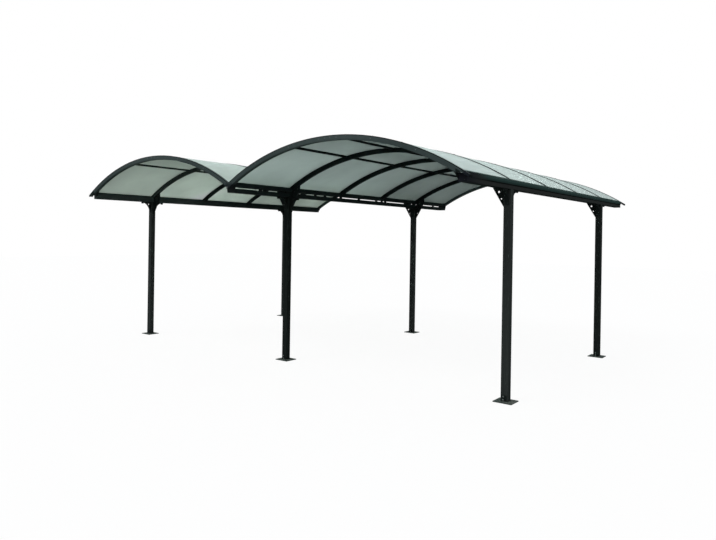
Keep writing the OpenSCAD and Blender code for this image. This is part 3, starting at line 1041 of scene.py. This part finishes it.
@dataclass(frozen=True)
class PaintedLightAndShade:
    """Painted light and shade: where the paints take other colours, banded along the gutter.

    Attributes:
        layout: The carport's places.
        middle_post: Painted shade: colour of the middle front post, under the valley.
        rear_post: Painted shade: colour of the right rear post.
        left_arch: Painted light: paler colour of the front arches of the left canopy.
        face_light_below_step: Painted light: colour of the right gutter's outer face under its
            step.
        face_reflection_above_step: Painted reflection: greener colour of that face above its
            step.
        crest: Painted highlight: paler colour of its top.
        shadow_under_step: Painted shadow: colour of the dark line in its step.
        corner_shade_at_gutter_front: Painted shade: colour of the right gutter's front corner.
        left_gutter: Painted light: colour of the left gutter's front half.
        crown: Painted light: colour of the end arches near the crown.
        nose: Painted shade: colour of their noses.
        valley_foot: Painted shade: colour of their feet at the valley.
        arch_paler_x: The left arches are paler below this place along X.
        arch_paler_y: They are paler in front of this place along Y.
        face_depth: Depth of the right gutter's outer face, and of the nose over it.
        line_ups: Where the painted shadow in the step of that face starts and ends, above the
        gutter's underside.
        crest_up: Middle of the change from the band to its paler crest.
        crest_soft: Half the width of that change.
        band_start: Place along Y where the bands set in.
        band_soft: Half the width of the bands' fading at the front.
        corner_end: Place along Y where the painted shade on the right gutter's front corner ends.
        corner_soft: Half the width of its fading.
        left_end: Place along Y in the middle of the left gutter's fading.
        left_soft: Half the width of that fading.
        crown_drop: How far below the crown the end arches turn paler.
        crown_soft: Half the width of that change.
        nose_soft: Half the width of the end arches' darkening at the nose.
        foot_x: Where the painted shade on the valley feet of the end arches starts and ends along
            X.
        foot_up: Its height above the gutter's underside.
        foot_soft: Half the width of its soft edges.
    """

    layout: Layout
    middle_post: Triple = (0.012, 0.0155, 0.0145)
    rear_post: Triple = (0.017, 0.020, 0.019)
    left_arch: Triple = (0.021, 0.028, 0.027)
    face_light_below_step: Triple = (0.021, 0.0215, 0.0215)
    face_reflection_above_step: Triple = (0.012, 0.028, 0.026)
    crest: Triple = (0.036, 0.066, 0.062)
    shadow_under_step: Triple = (0.001, 0.002, 0.002)
    corner_shade_at_gutter_front: Triple = (0.011, 0.012, 0.016)
    left_gutter: Triple = (0.036, 0.046, 0.045)
    crown: Triple = (0.050, 0.066, 0.065)
    nose: Triple = (0.010, 0.013, 0.018)
    valley_foot: Triple = (0.016, 0.021, 0.023)
    arch_paler_x: float = -0.45
    arch_paler_y: float = -1.2
    face_depth: float = 0.020
    line_ups: Pair = (0.033, 0.043)
    crest_up: float = 0.066
    crest_soft: float = 0.014
    band_start: float = -2.1
    band_soft: float = 0.15
    corner_end: float = -2.25
    corner_soft: float = 0.12
    left_end: float = -0.3
    left_soft: float = 0.5
    crown_drop: float = 0.08
    crown_soft: float = 0.05
    nose_soft: float = 0.02
    foot_x: Pair = (-0.045, 0.07)
    foot_up: float = 0.095
    foot_soft: float = 0.012

    def by_paint(self) -> dict[str, tuple[Zone, ...]]:
        """The zones of each paint that has some, by the paint's name."""
        return {POST_PAINT.name: self.posts(), ARCH_PAINT.name: self.arches(),
                GUTTER_PAINT.name: self.gutters(), END_ARCH_PAINT.name: self.end_arches()}

    def posts(self) -> tuple[Zone, ...]:
        """Painted shade: a darker middle front post and right rear post.

        Returns:
            The zones.
        """
        half_row = self.layout.row_pitch / 2
        # Painted shade: the middle front post and the right rear post are darker.
        return (Zone(self.middle_post, x=(-half_row, half_row), y=(-FAR, 0.0)),
                Zone(self.rear_post, x=(half_row, FAR), y=(0.0, FAR)))

    def arches(self) -> tuple[Zone, ...]:
        """Painted light: paler front arches of the left canopy."""
        # Painted light: the left canopy's front arches are paler.
        return (Zone(self.left_arch, x=(-FAR, self.arch_paler_x), y=(-FAR, self.arch_paler_y)),)

    def outer_face(self) -> Pair:
        """Where the right gutter's outer face starts and ends along X."""
        return (self.layout.gutter_outer_x - self.face_depth, FAR)

    def gutters(self) -> tuple[Zone, ...]:
        """Painted light and shade on the right gutter's face bands, front corner, and the left
        gutter.

        Returns:
            The zones: painted light below the step, painted reflection above it, a painted
            highlight on its crest, a painted shadow in the step, painted shade on the front
            corner, and painted light on the left gutter.
        """
        face, half_row = self.outer_face(), self.layout.row_pitch / 2
        line_low, line_high = (self.layout.clear_height + up for up in self.line_ups)
        crest_z = self.layout.clear_height + self.crest_up
        banded, band_soft = (self.band_start, FAR), (CRISP, self.band_soft, CRISP)
        # Painted light: the outer face is lighter below the step.
        return (Zone(self.face_light_below_step, x=face),
                # Painted reflection: a greener band above the step.
                Zone(self.face_reflection_above_step, face, banded, (line_high, FAR), band_soft),
                # Painted highlight: a paler crest along the top.
                Zone(self.crest, face, banded, (crest_z, FAR),
                     (CRISP, self.band_soft, self.crest_soft)),
                # Painted shadow: a dark line in the step.
                Zone(self.shadow_under_step, face, banded, (line_low, line_high), band_soft),
                # Painted shade: the right gutter's front corner is darker.
                Zone(self.corner_shade_at_gutter_front, x=(half_row, FAR), y=(-FAR, self.corner_end),
                     soft=(CRISP, self.corner_soft, CRISP)),
                # Painted light: the left gutter's front half is paler.
                Zone(self.left_gutter, x=(-FAR, -half_row), y=(-FAR, self.left_end),
                     soft=(CRISP, self.left_soft, CRISP)))

    def end_arches(self) -> tuple[Zone, ...]:
        """Painted light on the end arches' crown, painted shade on their noses and valley feet.

        Returns:
            The zones, in that order.
        """
        crown_z = self.layout.axis_z + self.layout.roof_radius
        # Painted light: the end arches are paler near the crown.
        return (Zone(self.crown, z=(crown_z - self.crown_drop, FAR),
                     soft=(CRISP, CRISP, self.crown_soft)),
                # Painted shade: their noses are darker.
                Zone(self.nose, x=self.outer_face(), soft=(self.nose_soft, CRISP, CRISP)),
                # Painted shade: their feet at the valley are darker.
                Zone(self.valley_foot, x=self.foot_x,
                     z=(-FAR, self.layout.clear_height + self.foot_up),
                     soft=(self.foot_soft, CRISP, self.foot_soft)))


class Wardrobe:
    """All finishes, made once and put on the CAD nodes and the new pieces."""

    def __init__(self, layout: Layout) -> None:
        """Builds the shared group and every material.

        Args:
            layout: The carport's places.
        """
        group = PowderCoat().group()
        # Zones of painted light and shade, by paint.
        zones = PaintedLightAndShade(layout).by_paint()
        self.materials = {paint.name: paint.make(group, zones.get(paint.name, ()))
                          for paint in FRAME_PAINTS + TRIM_PAINTS}
        self.materials[ROOF_SHEET.name] = ROOF_SHEET.make()

    def put_on(self, piece: bpy.types.Object, finish: str) -> None:
        """Gives a piece one finish.

        Args:
            piece: The object.
            finish: The finish's name.
        """
        piece.data.materials.clear()
        piece.data.materials.append(self.materials[finish])

    def dress(self, piece: bpy.types.Object, paint: Paint) -> str:
        """Dresses a new piece and returns its name."""
        self.put_on(piece, paint.name)
        return piece.name

    def dress_frame(self) -> int:
        """Puts each CAD node's finish on it, as the record's slots say.

        Returns:
            The number of nodes dressed.
        """
        rows = frame["record"]["subparts"]
        for row in rows:
            slot = row["material_slot"]
            self.put_on(frame["nodes"][row["node"]], slot)
        return len(rows)


# ---- Sub-assemblies ------------------------------------------------------------------


@dataclass
class Trim:
    """Small fixed pieces, built at the front on the right and mirrored to their place.

    With no side or no end given, they stay as built along X or Y.
    """

    layout: Layout
    wardrobe: Wardrobe
    side: Side | None = None
    end: End | None = None

    def in_place(self, surface: Surface) -> Surface:
        """Mirrors a surface to its own side and end.

        Args:
            surface: The surface as built.

        Returns:
            The surface where it belongs.
        """
        if self.side is Side.LEFT:
            surface = surface.mirrored(0)
        if self.end is End.REAR:
            surface = surface.mirrored(1)
        return surface

    def finish(self, surface: Surface, kind: str, paint: Paint) -> str:
        """Puts a piece in place and dresses it.

        Args:
            surface: The piece as built.
            kind: What it is; the words of its side and end complete its name.
            paint: Its paint.

        Returns:
            The piece's name.
        """
        words = [place.word for place in (self.side, self.end) if place is not None]
        piece = self.in_place(surface).piece("_".join([kind, *words]))
        return self.wardrobe.dress(piece, paint)


@dataclass
class PostTrim(Trim):
    """Small pieces of one post, built round the post's axis and moved to it."""

    def in_place(self, surface: Surface) -> Surface:
        """Moves a surface to its post."""
        return surface.moved(self.layout.row_x(self.side),
                             self.end.value * self.layout.post_y, 0)


@dataclass
class Foot(PostTrim):
    """The cleats low on a post's front and back, with two screws and a slot of painted shade in
    each.
    """

    cleat_half: float = 0.024
    cleat_height: float = 0.056
    cleat_thick: float = 0.002
    screw_across: float = -0.008
    screw_heights: Pair = (0.012, 0.042)
    slot_low: Pair = (0.007, 0.014)
    slot_high: Pair = (0.012, 0.044)
    slot_proud: float = 0.0003

    def build(self) -> list[str]:
        """Builds the cleats, the painted shade in their slots, and their screws.

        Returns:
            The pieces' names.
        """
        half, low = self.layout.post_half, self.layout.plate_top
        face = -half - self.cleat_thick
        plate = straight(box_profile((-self.cleat_half, low),
                                     (self.cleat_half, low + self.cleat_height)),
                         1, face, -half + self.cleat_thick)
        # Painted shade: a thin dark plate on the cleat stands for the shade in its slot.
        slot = straight(box_profile((self.slot_low[0], low + self.slot_low[1]),
                                    (self.slot_high[0], low + self.slot_high[1])),
                        1, face - self.slot_proud, -half)
        spots = grid_places([self.screw_across], [face], low + np.array(self.screw_heights))
        screws = Fixing.WASHER_SCREW.set_at(spots, same_normal(spots, 0, -1, 0))
        return [self.finish(plate.doubled(1), "foot_cleats", BRACKET_PAINT),
                self.finish(slot.doubled(1), "foot_slots", RUBBER),
                self.finish(screws.doubled(1), "foot_screws", ZINC)]


@dataclass
class HeadFixings(PostTrim):
    """The bolts of one post head: up into the gutter, and through the knee into the arch."""

    flange_thick: float = 0.005
    lip_depth: float = 0.022
    lip_out: float = 0.137
    flange_outs: Pair = (0.040, 0.072)
    flange_across: float = 0.012
    knee_bolts: tuple[Pair, ...] = ((0.100, 0.066), (0.150, 0.096))
    knee_half_thick: float = 0.004

    def build(self) -> list[str]:
        """Builds the bolts of this head as one piece.

        Returns:
            The piece's name, in a list.
        """
        bolts = Surface.joined([self.flange_bolts(), self.lip_screws(), self.knee_heads()])
        return [self.finish(bolts, "head_bolts", BOLT_BLACK)]

    def flange_bolts(self) -> Surface:
        """Bolts from below through the brackets' top flanges.

        Returns:
            The bolts as one surface.
        """
        outs = self.layout.post_half + np.array(self.flange_outs)
        spots = grid_places([-self.flange_across, self.flange_across],
                            np.concatenate([-outs, outs]),
                            [self.layout.clear_height - self.flange_thick])
        return Fixing.HEX_BOLT.set_at(spots, same_normal(spots, 0, 0, -1))

    def lip_screws(self) -> Surface:
        """Screws from below through the lips at the brackets' tips.

        Returns:
            The screws as one surface.
        """
        out = self.layout.post_half + self.lip_out
        spots = grid_places([-self.flange_across, self.flange_across], [-out, out],
                            [self.layout.clear_height - self.lip_depth])
        return Fixing.PAN_SCREW.set_at(spots, same_normal(spots, 0, 0, -1))

    def knee_heads(self) -> Surface:
        """Bolts through each knee plate, with a head on both faces.

        Returns:
            The heads as one surface.
        """
        towards = {Side.LEFT: (1,), Side.MIDDLE: (-1, 1), Side.RIGHT: (-1,)}[self.side]
        spots = np.array([(way * out, face * self.knee_half_thick,
                           self.layout.clear_height + up)
                          for way in towards for out, up in self.knee_bolts
                          for face in (-1, 1)])
        return Fixing.HEX_BOLT.set_at(spots, end_normals(spots))


@dataclass
class EndArchTrim(Trim):
    """Top gasket, corner block with its gusset, screws and nose plug of one end arch."""

    arch_depth: float = 0.048
    line_proud: float = 0.0008
    line_sunk: float = 0.002
    top_line: float = 0.006
    nose_depth: float = 0.020
    block_sunk: float = 0.002
    block_length: float = 0.044
    gusset_reach: float = 0.050
    gusset_waist: float = 0.014
    gusset_drop: float = 0.048
    gusset_thick: float = 0.020
    plug_thick: float = 0.003
    face_screws: tuple[float, ...] = (0.03, 0.105, 0.49, 0.95)
    flange_screws: tuple[float, ...] = (0.20, 0.50, 0.80, 1.10)
    flange_in: float = 0.016

    def build(self) -> list[str]:
        """Builds all pieces of this arch.

        Returns:
            Their names.
        """
        return [self.finish(self.top_gasket(), "arch_edges", RUBBER),
                self.finish(self.corner_block(), "corner_block", BRACKET_PAINT),
                self.finish(self.screws(), "arch_screws", ZINC_DULL),
                self.finish(self.nose_plug(), "nose_plug", RUBBER)]

    @property
    def face_y(self) -> float:
        """Place along Y of the arch's face."""
        return -self.layout.half_length

    def top_gasket(self) -> Surface:
        """A gasket that shows as a thin line along the top of the face.

        Returns:
            The gasket.
        """
        top = self.layout.roof_radius
        profile = box_profile((top - self.top_line, self.face_y - self.line_proud),
                              (top, self.face_y + self.line_sunk))
        return along_vault(self.layout, profile, self.top_line,
                           self.layout.nose_x - self.top_line)

    def screws(self) -> Surface:
        """Flush screws in the face, and roof screws in the flange over the sheets.

        Returns:
            All screws as one surface.
        """
        layout = self.layout
        face = layout.both_ways(self.face_screws)
        spots = layout.on_vault(layout.roof_radius - self.arch_depth / 2, face, self.face_y)
        flush = Fixing.FLUSH_SCREW.set_at(spots, same_normal(spots, 0, -1, 0))
        flange = layout.both_ways(self.flange_screws)
        tops = layout.on_vault(layout.roof_radius, flange, self.face_y + self.flange_in)
        return Surface.joined([flush, Fixing.ROOF_SCREW.set_at(tops,
                                                               layout.vault_normals(flange))])

    def corner_block(self) -> Surface:
        """Block that fills the wedge between the nose and the end of the gutter.

        Returns:
            The block and its gusset as one surface.
        """
        layout = self.layout
        across = layout.gutter_inner_x + np.array([-self.block_sunk, self.block_length])
        top = layout.height_at(layout.roof_radius - self.nose_depth / 2, across)
        low = layout.gutter_top - self.block_sunk
        profile = np.array([[across[0], low], [across[1], low],
                            [across[1], top[1]], [across[0], top[0]]])
        block = straight(profile, 1, self.face_y + self.block_sunk,
                         layout.gutter_front_y + self.block_sunk)
        return Surface.joined([block, self.gusset()])

    def gusset(self) -> Surface:
        """Small gusset under the arch where it meets the gutter's inner side.

        Returns:
            The gusset, its top sunk into the arch.
        """
        layout = self.layout
        across = layout.gutter_inner_x + np.array([-self.gusset_reach, self.block_sunk])
        under = layout.height_at(layout.roof_radius - self.arch_depth + self.block_sunk, across)
        waist = (across.mean(), under.mean() - self.gusset_waist)
        foot = (across[1], layout.gutter_top - self.gusset_drop)
        profile = np.array([[across[0], under[0]], waist, foot, [across[1], under[1]]])
        return straight(profile, 1, layout.gutter_front_y - self.gusset_thick,
                        layout.gutter_front_y + self.block_sunk)

    def nose_plug(self) -> Surface:
        """Thin plug that closes the end of the nose.

        Returns:
            The plug.
        """
        layout = self.layout
        height = layout.height_at(layout.roof_radius, layout.nose_x)
        return straight(box_profile((self.face_y, height - self.nose_depth),
                                    (self.face_y + layout.end_arch_width, height)),
                        0, layout.nose_x - self.plug_thick, layout.nose_x + self.plug_thick)


@dataclass
class RoofTrim(Trim):
    """Seals, gaskets, screws and edge profiles of one canopy."""

    seal_width: float = 0.004
    seal_height: float = 0.0022
    gasket_width: float = 0.005
    gasket_height: float = 0.002
    sunk: float = 0.0005
    edge_leg: float = 0.016
    edge_thick: float = 0.0012
    strip_screws: tuple[float, ...] = (0.20, 0.50, 0.80, 1.10)

    def build(self) -> list[str]:
        """Builds all pieces of this canopy.

        Returns:
            Their names.
        """
        return [self.finish(self.strip_seals(), "strip_seals", RUBBER),
                self.finish(self.under_gaskets(), "arch_gaskets", ARCH_PAINT),
                self.finish(self.screws(), "strip_screws", ZINC_DULL),
                self.finish(self.edge_profiles(), "sheet_edges", EDGE_PROFILE)]

    def lines(self, profile: Array, from_x: float, to_x: float) -> Surface:
        """A pair of thin bars along the arc beside each inner arch.

        Args:
            profile: N by 2 points of a bar's radius and distance from the arch's middle.
            from_x: Where the bars start along X.
            to_x: Where they end.

        Returns:
            All bars as one surface.
        """
        pair = along_vault(self.layout, profile, from_x, to_x).doubled(1)
        return pair.copies(np.array([(0.0, place, 0.0) for place in self.layout.inner_arch_ys()]))

    def strip_seals(self) -> Surface:
        """Rubber lips on the sheets along both edges of each cover strip.

        Returns:
            The lips as one surface.
        """
        layout = self.layout
        near, low = layout.strip_width / 2 - self.sunk, layout.sheet_outer
        profile = box_profile((low - self.sunk, near),
                              (low + self.seal_height, near + self.seal_width))
        return self.lines(profile, layout.valley_edge_x + self.seal_width,
                          layout.sheet_edge_x - self.seal_width)

    def under_gaskets(self) -> Surface:
        """Gaskets under the sheets along both sides of each inner arch.

        Returns:
            The gaskets as one surface.
        """
        layout = self.layout
        near, high = layout.arch_width / 2 - self.sunk, layout.sheet_inner
        profile = box_profile((high - self.gasket_height, near),
                              (high + self.sunk, near + self.gasket_width))
        return self.lines(profile, layout.valley_edge_x + layout.strip_width,
                          layout.sheet_edge_x - 2 * layout.strip_width)

    def screws(self) -> Surface:
        """Roof screws down the middle of each cover strip.

        Returns:
            The screws as one surface.
        """
        layout = self.layout
        angle, place_y = (grid.ravel() for grid in np.meshgrid(
            layout.both_ways(self.strip_screws), layout.inner_arch_ys()))
        spots = layout.on_vault(layout.roof_radius, angle, place_y)
        return Fixing.ROOF_SCREW.set_at(spots, layout.vault_normals(angle))

    def edge_profiles(self) -> Surface:
        """A folded edge round the gutter side of each sheet: top leg, nose and bottom leg.

        The legs are set out from the sheet's last line, by radius and angle about the
        roof's axis; the profile is then carried straight along Y.

        Returns:
            The profiles as one surface.
        """
        layout, thick = self.layout, self.edge_thick
        outer, inner = layout.sheet_outer, layout.sheet_inner
        last = layout.angle_at(layout.sheet_edge_x)
        leg = last - self.edge_leg / layout.roof_radius
        nose = last + thick / layout.roof_radius
        corners = np.array([
            (outer, leg), (outer + thick, leg), (outer + thick, nose), (inner - thick, nose),
            (inner - thick, leg), (inner, leg), (inner, last), (outer, last)])
        ring = layout.on_vault(corners[:, 0], corners[:, 1], 0.0)
        bars = []
        for number in range(layout.bays):
            rings = np.stack([ring, ring])
            rings[0, :, 1] = layout.arch_y(number) + layout.strip_width / 2
            rings[1, :, 1] = layout.arch_y(number + 1) - layout.strip_width / 2
            bars.append(open_fold(rings))
        return Surface.joined(bars)


def open_fold(rings: Array) -> Surface:
    """Skin of a folded strip whose profile runs out along one side and back along the other.

    Args:
        rings: 2 by 8 by 3 points round the profile: 0 to 5 round the outside, 6 and 7 in
            the fold.

    Returns:
        The closed surface, its ends filled leg by leg.
    """
    around = rings.shape[1]
    column = np.arange(around)
    following = (column + 1) % around
    side = np.stack([column, following, around + following, around + column], axis=-1)
    ends = np.array([(0, 1, 2, 7), (7, 2, 3, 6), (6, 3, 4, 5)])
    faces = np.concatenate([side, ends[:, ::-1], ends + around])
    return Surface(rings.reshape(-1, 3), faces).outward()


@dataclass
class ValleyTrim(Trim):
    """Round bosses on the valley feet of the end arches, and packing beside the heads."""

    boss_across: float = -0.012
    boss_up: float = 0.050
    packer_thick: float = 0.010
    packer_ys: Pair = (0.030, 0.062)

    def build(self) -> list[str]:
        """Builds the bosses and the packers.

        Returns:
            The pieces' names.
        """
        layout = self.layout
        spots = grid_places([self.boss_across], [-layout.half_length, layout.half_length],
                            [layout.clear_height + self.boss_up])
        bosses = Fixing.OUTLET_BOSS.set_at(spots, end_normals(spots))
        return [self.finish(bosses, "valley_cap_bosses", ZINC_DULL),
                self.finish(self.packers(), "valley_packers", BRACKET_PAINT)]

    def packers(self) -> Surface:
        """Packing between each middle head and the spacer blocks beside it.

        Returns:
            The packers as one surface, each sunk a millimetre into the metal above and
            below it.
        """
        low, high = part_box("valley_spacers")
        bar = straight(box_profile((high.x - self.packer_thick - MM, low.z - MM),
                                   (high.x - MM, high.z + MM)), 1, *self.packer_ys)
        places = np.array([(0.0, end.value * self.layout.post_y, 0.0) for end in End])
        return bar.doubled(0).doubled(1).copies(places)


@dataclass
class GutterTrim(Trim):
    """Screws of the plates that close one outer gutter."""

    screw_in: float = 0.010
    screw_ups: Pair = (0.017, 0.060)

    def build(self) -> list[str]:
        """Builds the end screws.

        Returns:
            The piece's name, in a list.
        """
        layout = self.layout
        caps_low, caps_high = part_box("gutter_end_caps")
        across = [layout.gutter_inner_x + self.screw_in,
                  layout.gutter_outer_x - 2 * self.screw_in]
        spots = grid_places(across, [caps_low.y, caps_high.y],
                            layout.clear_height + np.array(self.screw_ups))
        screws = Fixing.PAN_SCREW.set_at(spots, end_normals(spots))
        return [self.finish(screws, "gutter_cap_screws", BOLT_BLACK)]


# ---- Studio --------------------------------------------------------------------------


@dataclass
class Studio:
    """Floor, world, lamp and camera. Angles are in degrees, the lens in millimetres."""

    floor_size: float = 60.0
    floor_white: float = 0.93
    floor_colour: Rgba = (0.86, 0.86, 0.86, 1)
    floor_in_gloss: Rgba = (0.05, 0.065, 0.06, 1)
    floor_in_bounce: Rgba = (0.34, 0.36, 0.33, 1)
    daylight: Rgba = (0.94, 0.97, 1.0, 1)
    daylight_strength: float = 0.85
    backdrop: Rgba = (1, 1, 1, 1)
    hedge_limits: Pair = (0.02, 0.22)
    hedge_colour: Rgba = (0.10, 0.14, 0.13, 1)
    sky_colour: Rgba = (0.75, 0.885, 0.865, 1)
    sun_strength: float = 1.0
    sun_spread: float = 25.0
    sun_tilt: float = 42.0
    sun_turn: float = -25.0
    lens: float = 31.01
    sensor: float = 36.0
    shift: Pair = (0.0845, -0.048)
    clip: Pair = (0.05, 200.0)
    yaw: float = 40.59
    pitch: float = -0.09
    roll: float = 0.88
    eye: Triple = (4.916, -7.043, 1.504)

    def build(self) -> None:
        """Makes the whole studio."""
        self.build_floor()
        self.build_world()
        self.build_lamp()
        self.build_camera()

    def build_floor(self) -> None:
        """A pale floor that reads white to the camera and keeps a soft shadow."""
        corners = box_profile((-self.floor_size / 2,) * 2, (self.floor_size / 2,) * 2)
        mesh = bpy.data.meshes.new("floor")
        mesh.from_pydata([(*corner, 0.0) for corner in corners.tolist()], [], [[0, 1, 2, 3]])
        floor = bpy.data.objects.new("floor", mesh)
        bpy.context.scene.collection.objects.link(floor)
        material, graph, shader = new_material("floor")
        shader.inputs["Roughness"].default_value = 1.0
        shader.inputs["Specular IOR Level"].default_value = 0.0
        rays = graph.node("LightPath")
        bounced = graph.blend(rays.outputs["Is Glossy Ray"], self.floor_in_bounce,
                              self.floor_in_gloss)
        graph.join(graph.blend(rays.outputs["Is Camera Ray"], bounced, self.floor_colour),
                   shader.inputs["Base Color"])
        seen = graph.maths("MULTIPLY", rays.outputs["Is Camera Ray"], self.floor_white)
        surface = graph.mixed_shader(seen, shader, graph.node("Emission"))
        graph.join(surface.outputs[0],
                   material.node_tree.nodes["Material Output"].inputs["Surface"])
        mesh.materials.append(material)

    def build_world(self) -> None:
        """White to the camera and through the sheets; garden and sky to gloss; soft to the rest.

        Gloss sees a dark hedge at the horizon that clears into a pale sky above it.
        """
        world = bpy.data.worlds.new("sky")
        bpy.context.scene.world = world
        world.use_nodes = True
        graph = Graph(world.node_tree)
        plain = world.node_tree.nodes["Background"]
        plain.inputs["Color"].default_value = self.daylight
        plain.inputs["Strength"].default_value = self.daylight_strength
        white = graph.node("Background", Color=self.backdrop)
        mirror = graph.node("Background")
        up = graph.parts(graph.node("TexCoord").outputs["Generated"])
        height = graph.ramp(up["Z"], *self.hedge_limits)
        graph.join(graph.blend(height, self.hedge_colour, self.sky_colour),
                   mirror.inputs["Color"])
        rays = graph.node("LightPath")
        seen = graph.maths("MAXIMUM", rays.outputs["Is Camera Ray"],
                           rays.outputs["Is Transmission Ray"])
        around = graph.mixed_shader(rays.outputs["Is Glossy Ray"], plain, mirror)
        whole = graph.mixed_shader(seen, around, white)
        graph.join(whole.outputs[0], world.node_tree.nodes["World Output"].inputs["Surface"])

    def build_lamp(self) -> None:
        """One broad soft lamp high in front."""
        lamp = bpy.data.lights.new("soft_sun", "SUN")
        lamp.energy = self.sun_strength
        lamp.angle = math.radians(self.sun_spread)
        holder = bpy.data.objects.new("soft_sun", lamp)
        holder.rotation_euler = (math.radians(self.sun_tilt), 0, math.radians(self.sun_turn))
        bpy.context.scene.collection.objects.link(holder)

    def build_camera(self) -> None:
        """Stands the camera at the viewing place, turned by yaw, pitch and roll."""
        camera = bpy.data.cameras.new("camera")
        camera.sensor_width = self.sensor
        camera.lens = self.lens
        camera.shift_x, camera.shift_y = self.shift
        camera.clip_start, camera.clip_end = self.clip
        holder = bpy.data.objects.new("camera", camera)
        holder.location = self.eye
        holder.rotation_mode = "QUATERNION"
        level = Euler((math.radians(90 + self.pitch), 0, math.radians(self.yaw))).to_quaternion()
        spin = Euler((0, 0, math.radians(self.roll))).to_quaternion()
        holder.rotation_quaternion = level @ spin
        bpy.context.scene.collection.objects.link(holder)
        bpy.context.scene.camera = holder
        bpy.context.scene.view_settings.view_transform = "Standard"


def main() -> None:
    """Builds everything in order and reports it."""
    logging.basicConfig(level=logging.INFO, format="%(message)s")
    layout = Layout.measure()
    wardrobe = Wardrobe(layout)
    LOG.info("frame: %d nodes dressed", wardrobe.dress_frame())
    for side in Side:
        for end in End:
            LOG.info("foot: %s", Foot(layout, wardrobe, side, end).build())
            LOG.info("head: %s", HeadFixings(layout, wardrobe, side, end).build())
    for side in (Side.LEFT, Side.RIGHT):
        for end in End:
            LOG.info("end arch: %s", EndArchTrim(layout, wardrobe, side, end).build())
        LOG.info("roof: %s", RoofTrim(layout, wardrobe, side).build())
        LOG.info("gutter: %s", GutterTrim(layout, wardrobe, side).build())
    LOG.info("valley: %s", ValleyTrim(layout, wardrobe).build())
    Studio().build()


if __name__ == "__main__":
    main()
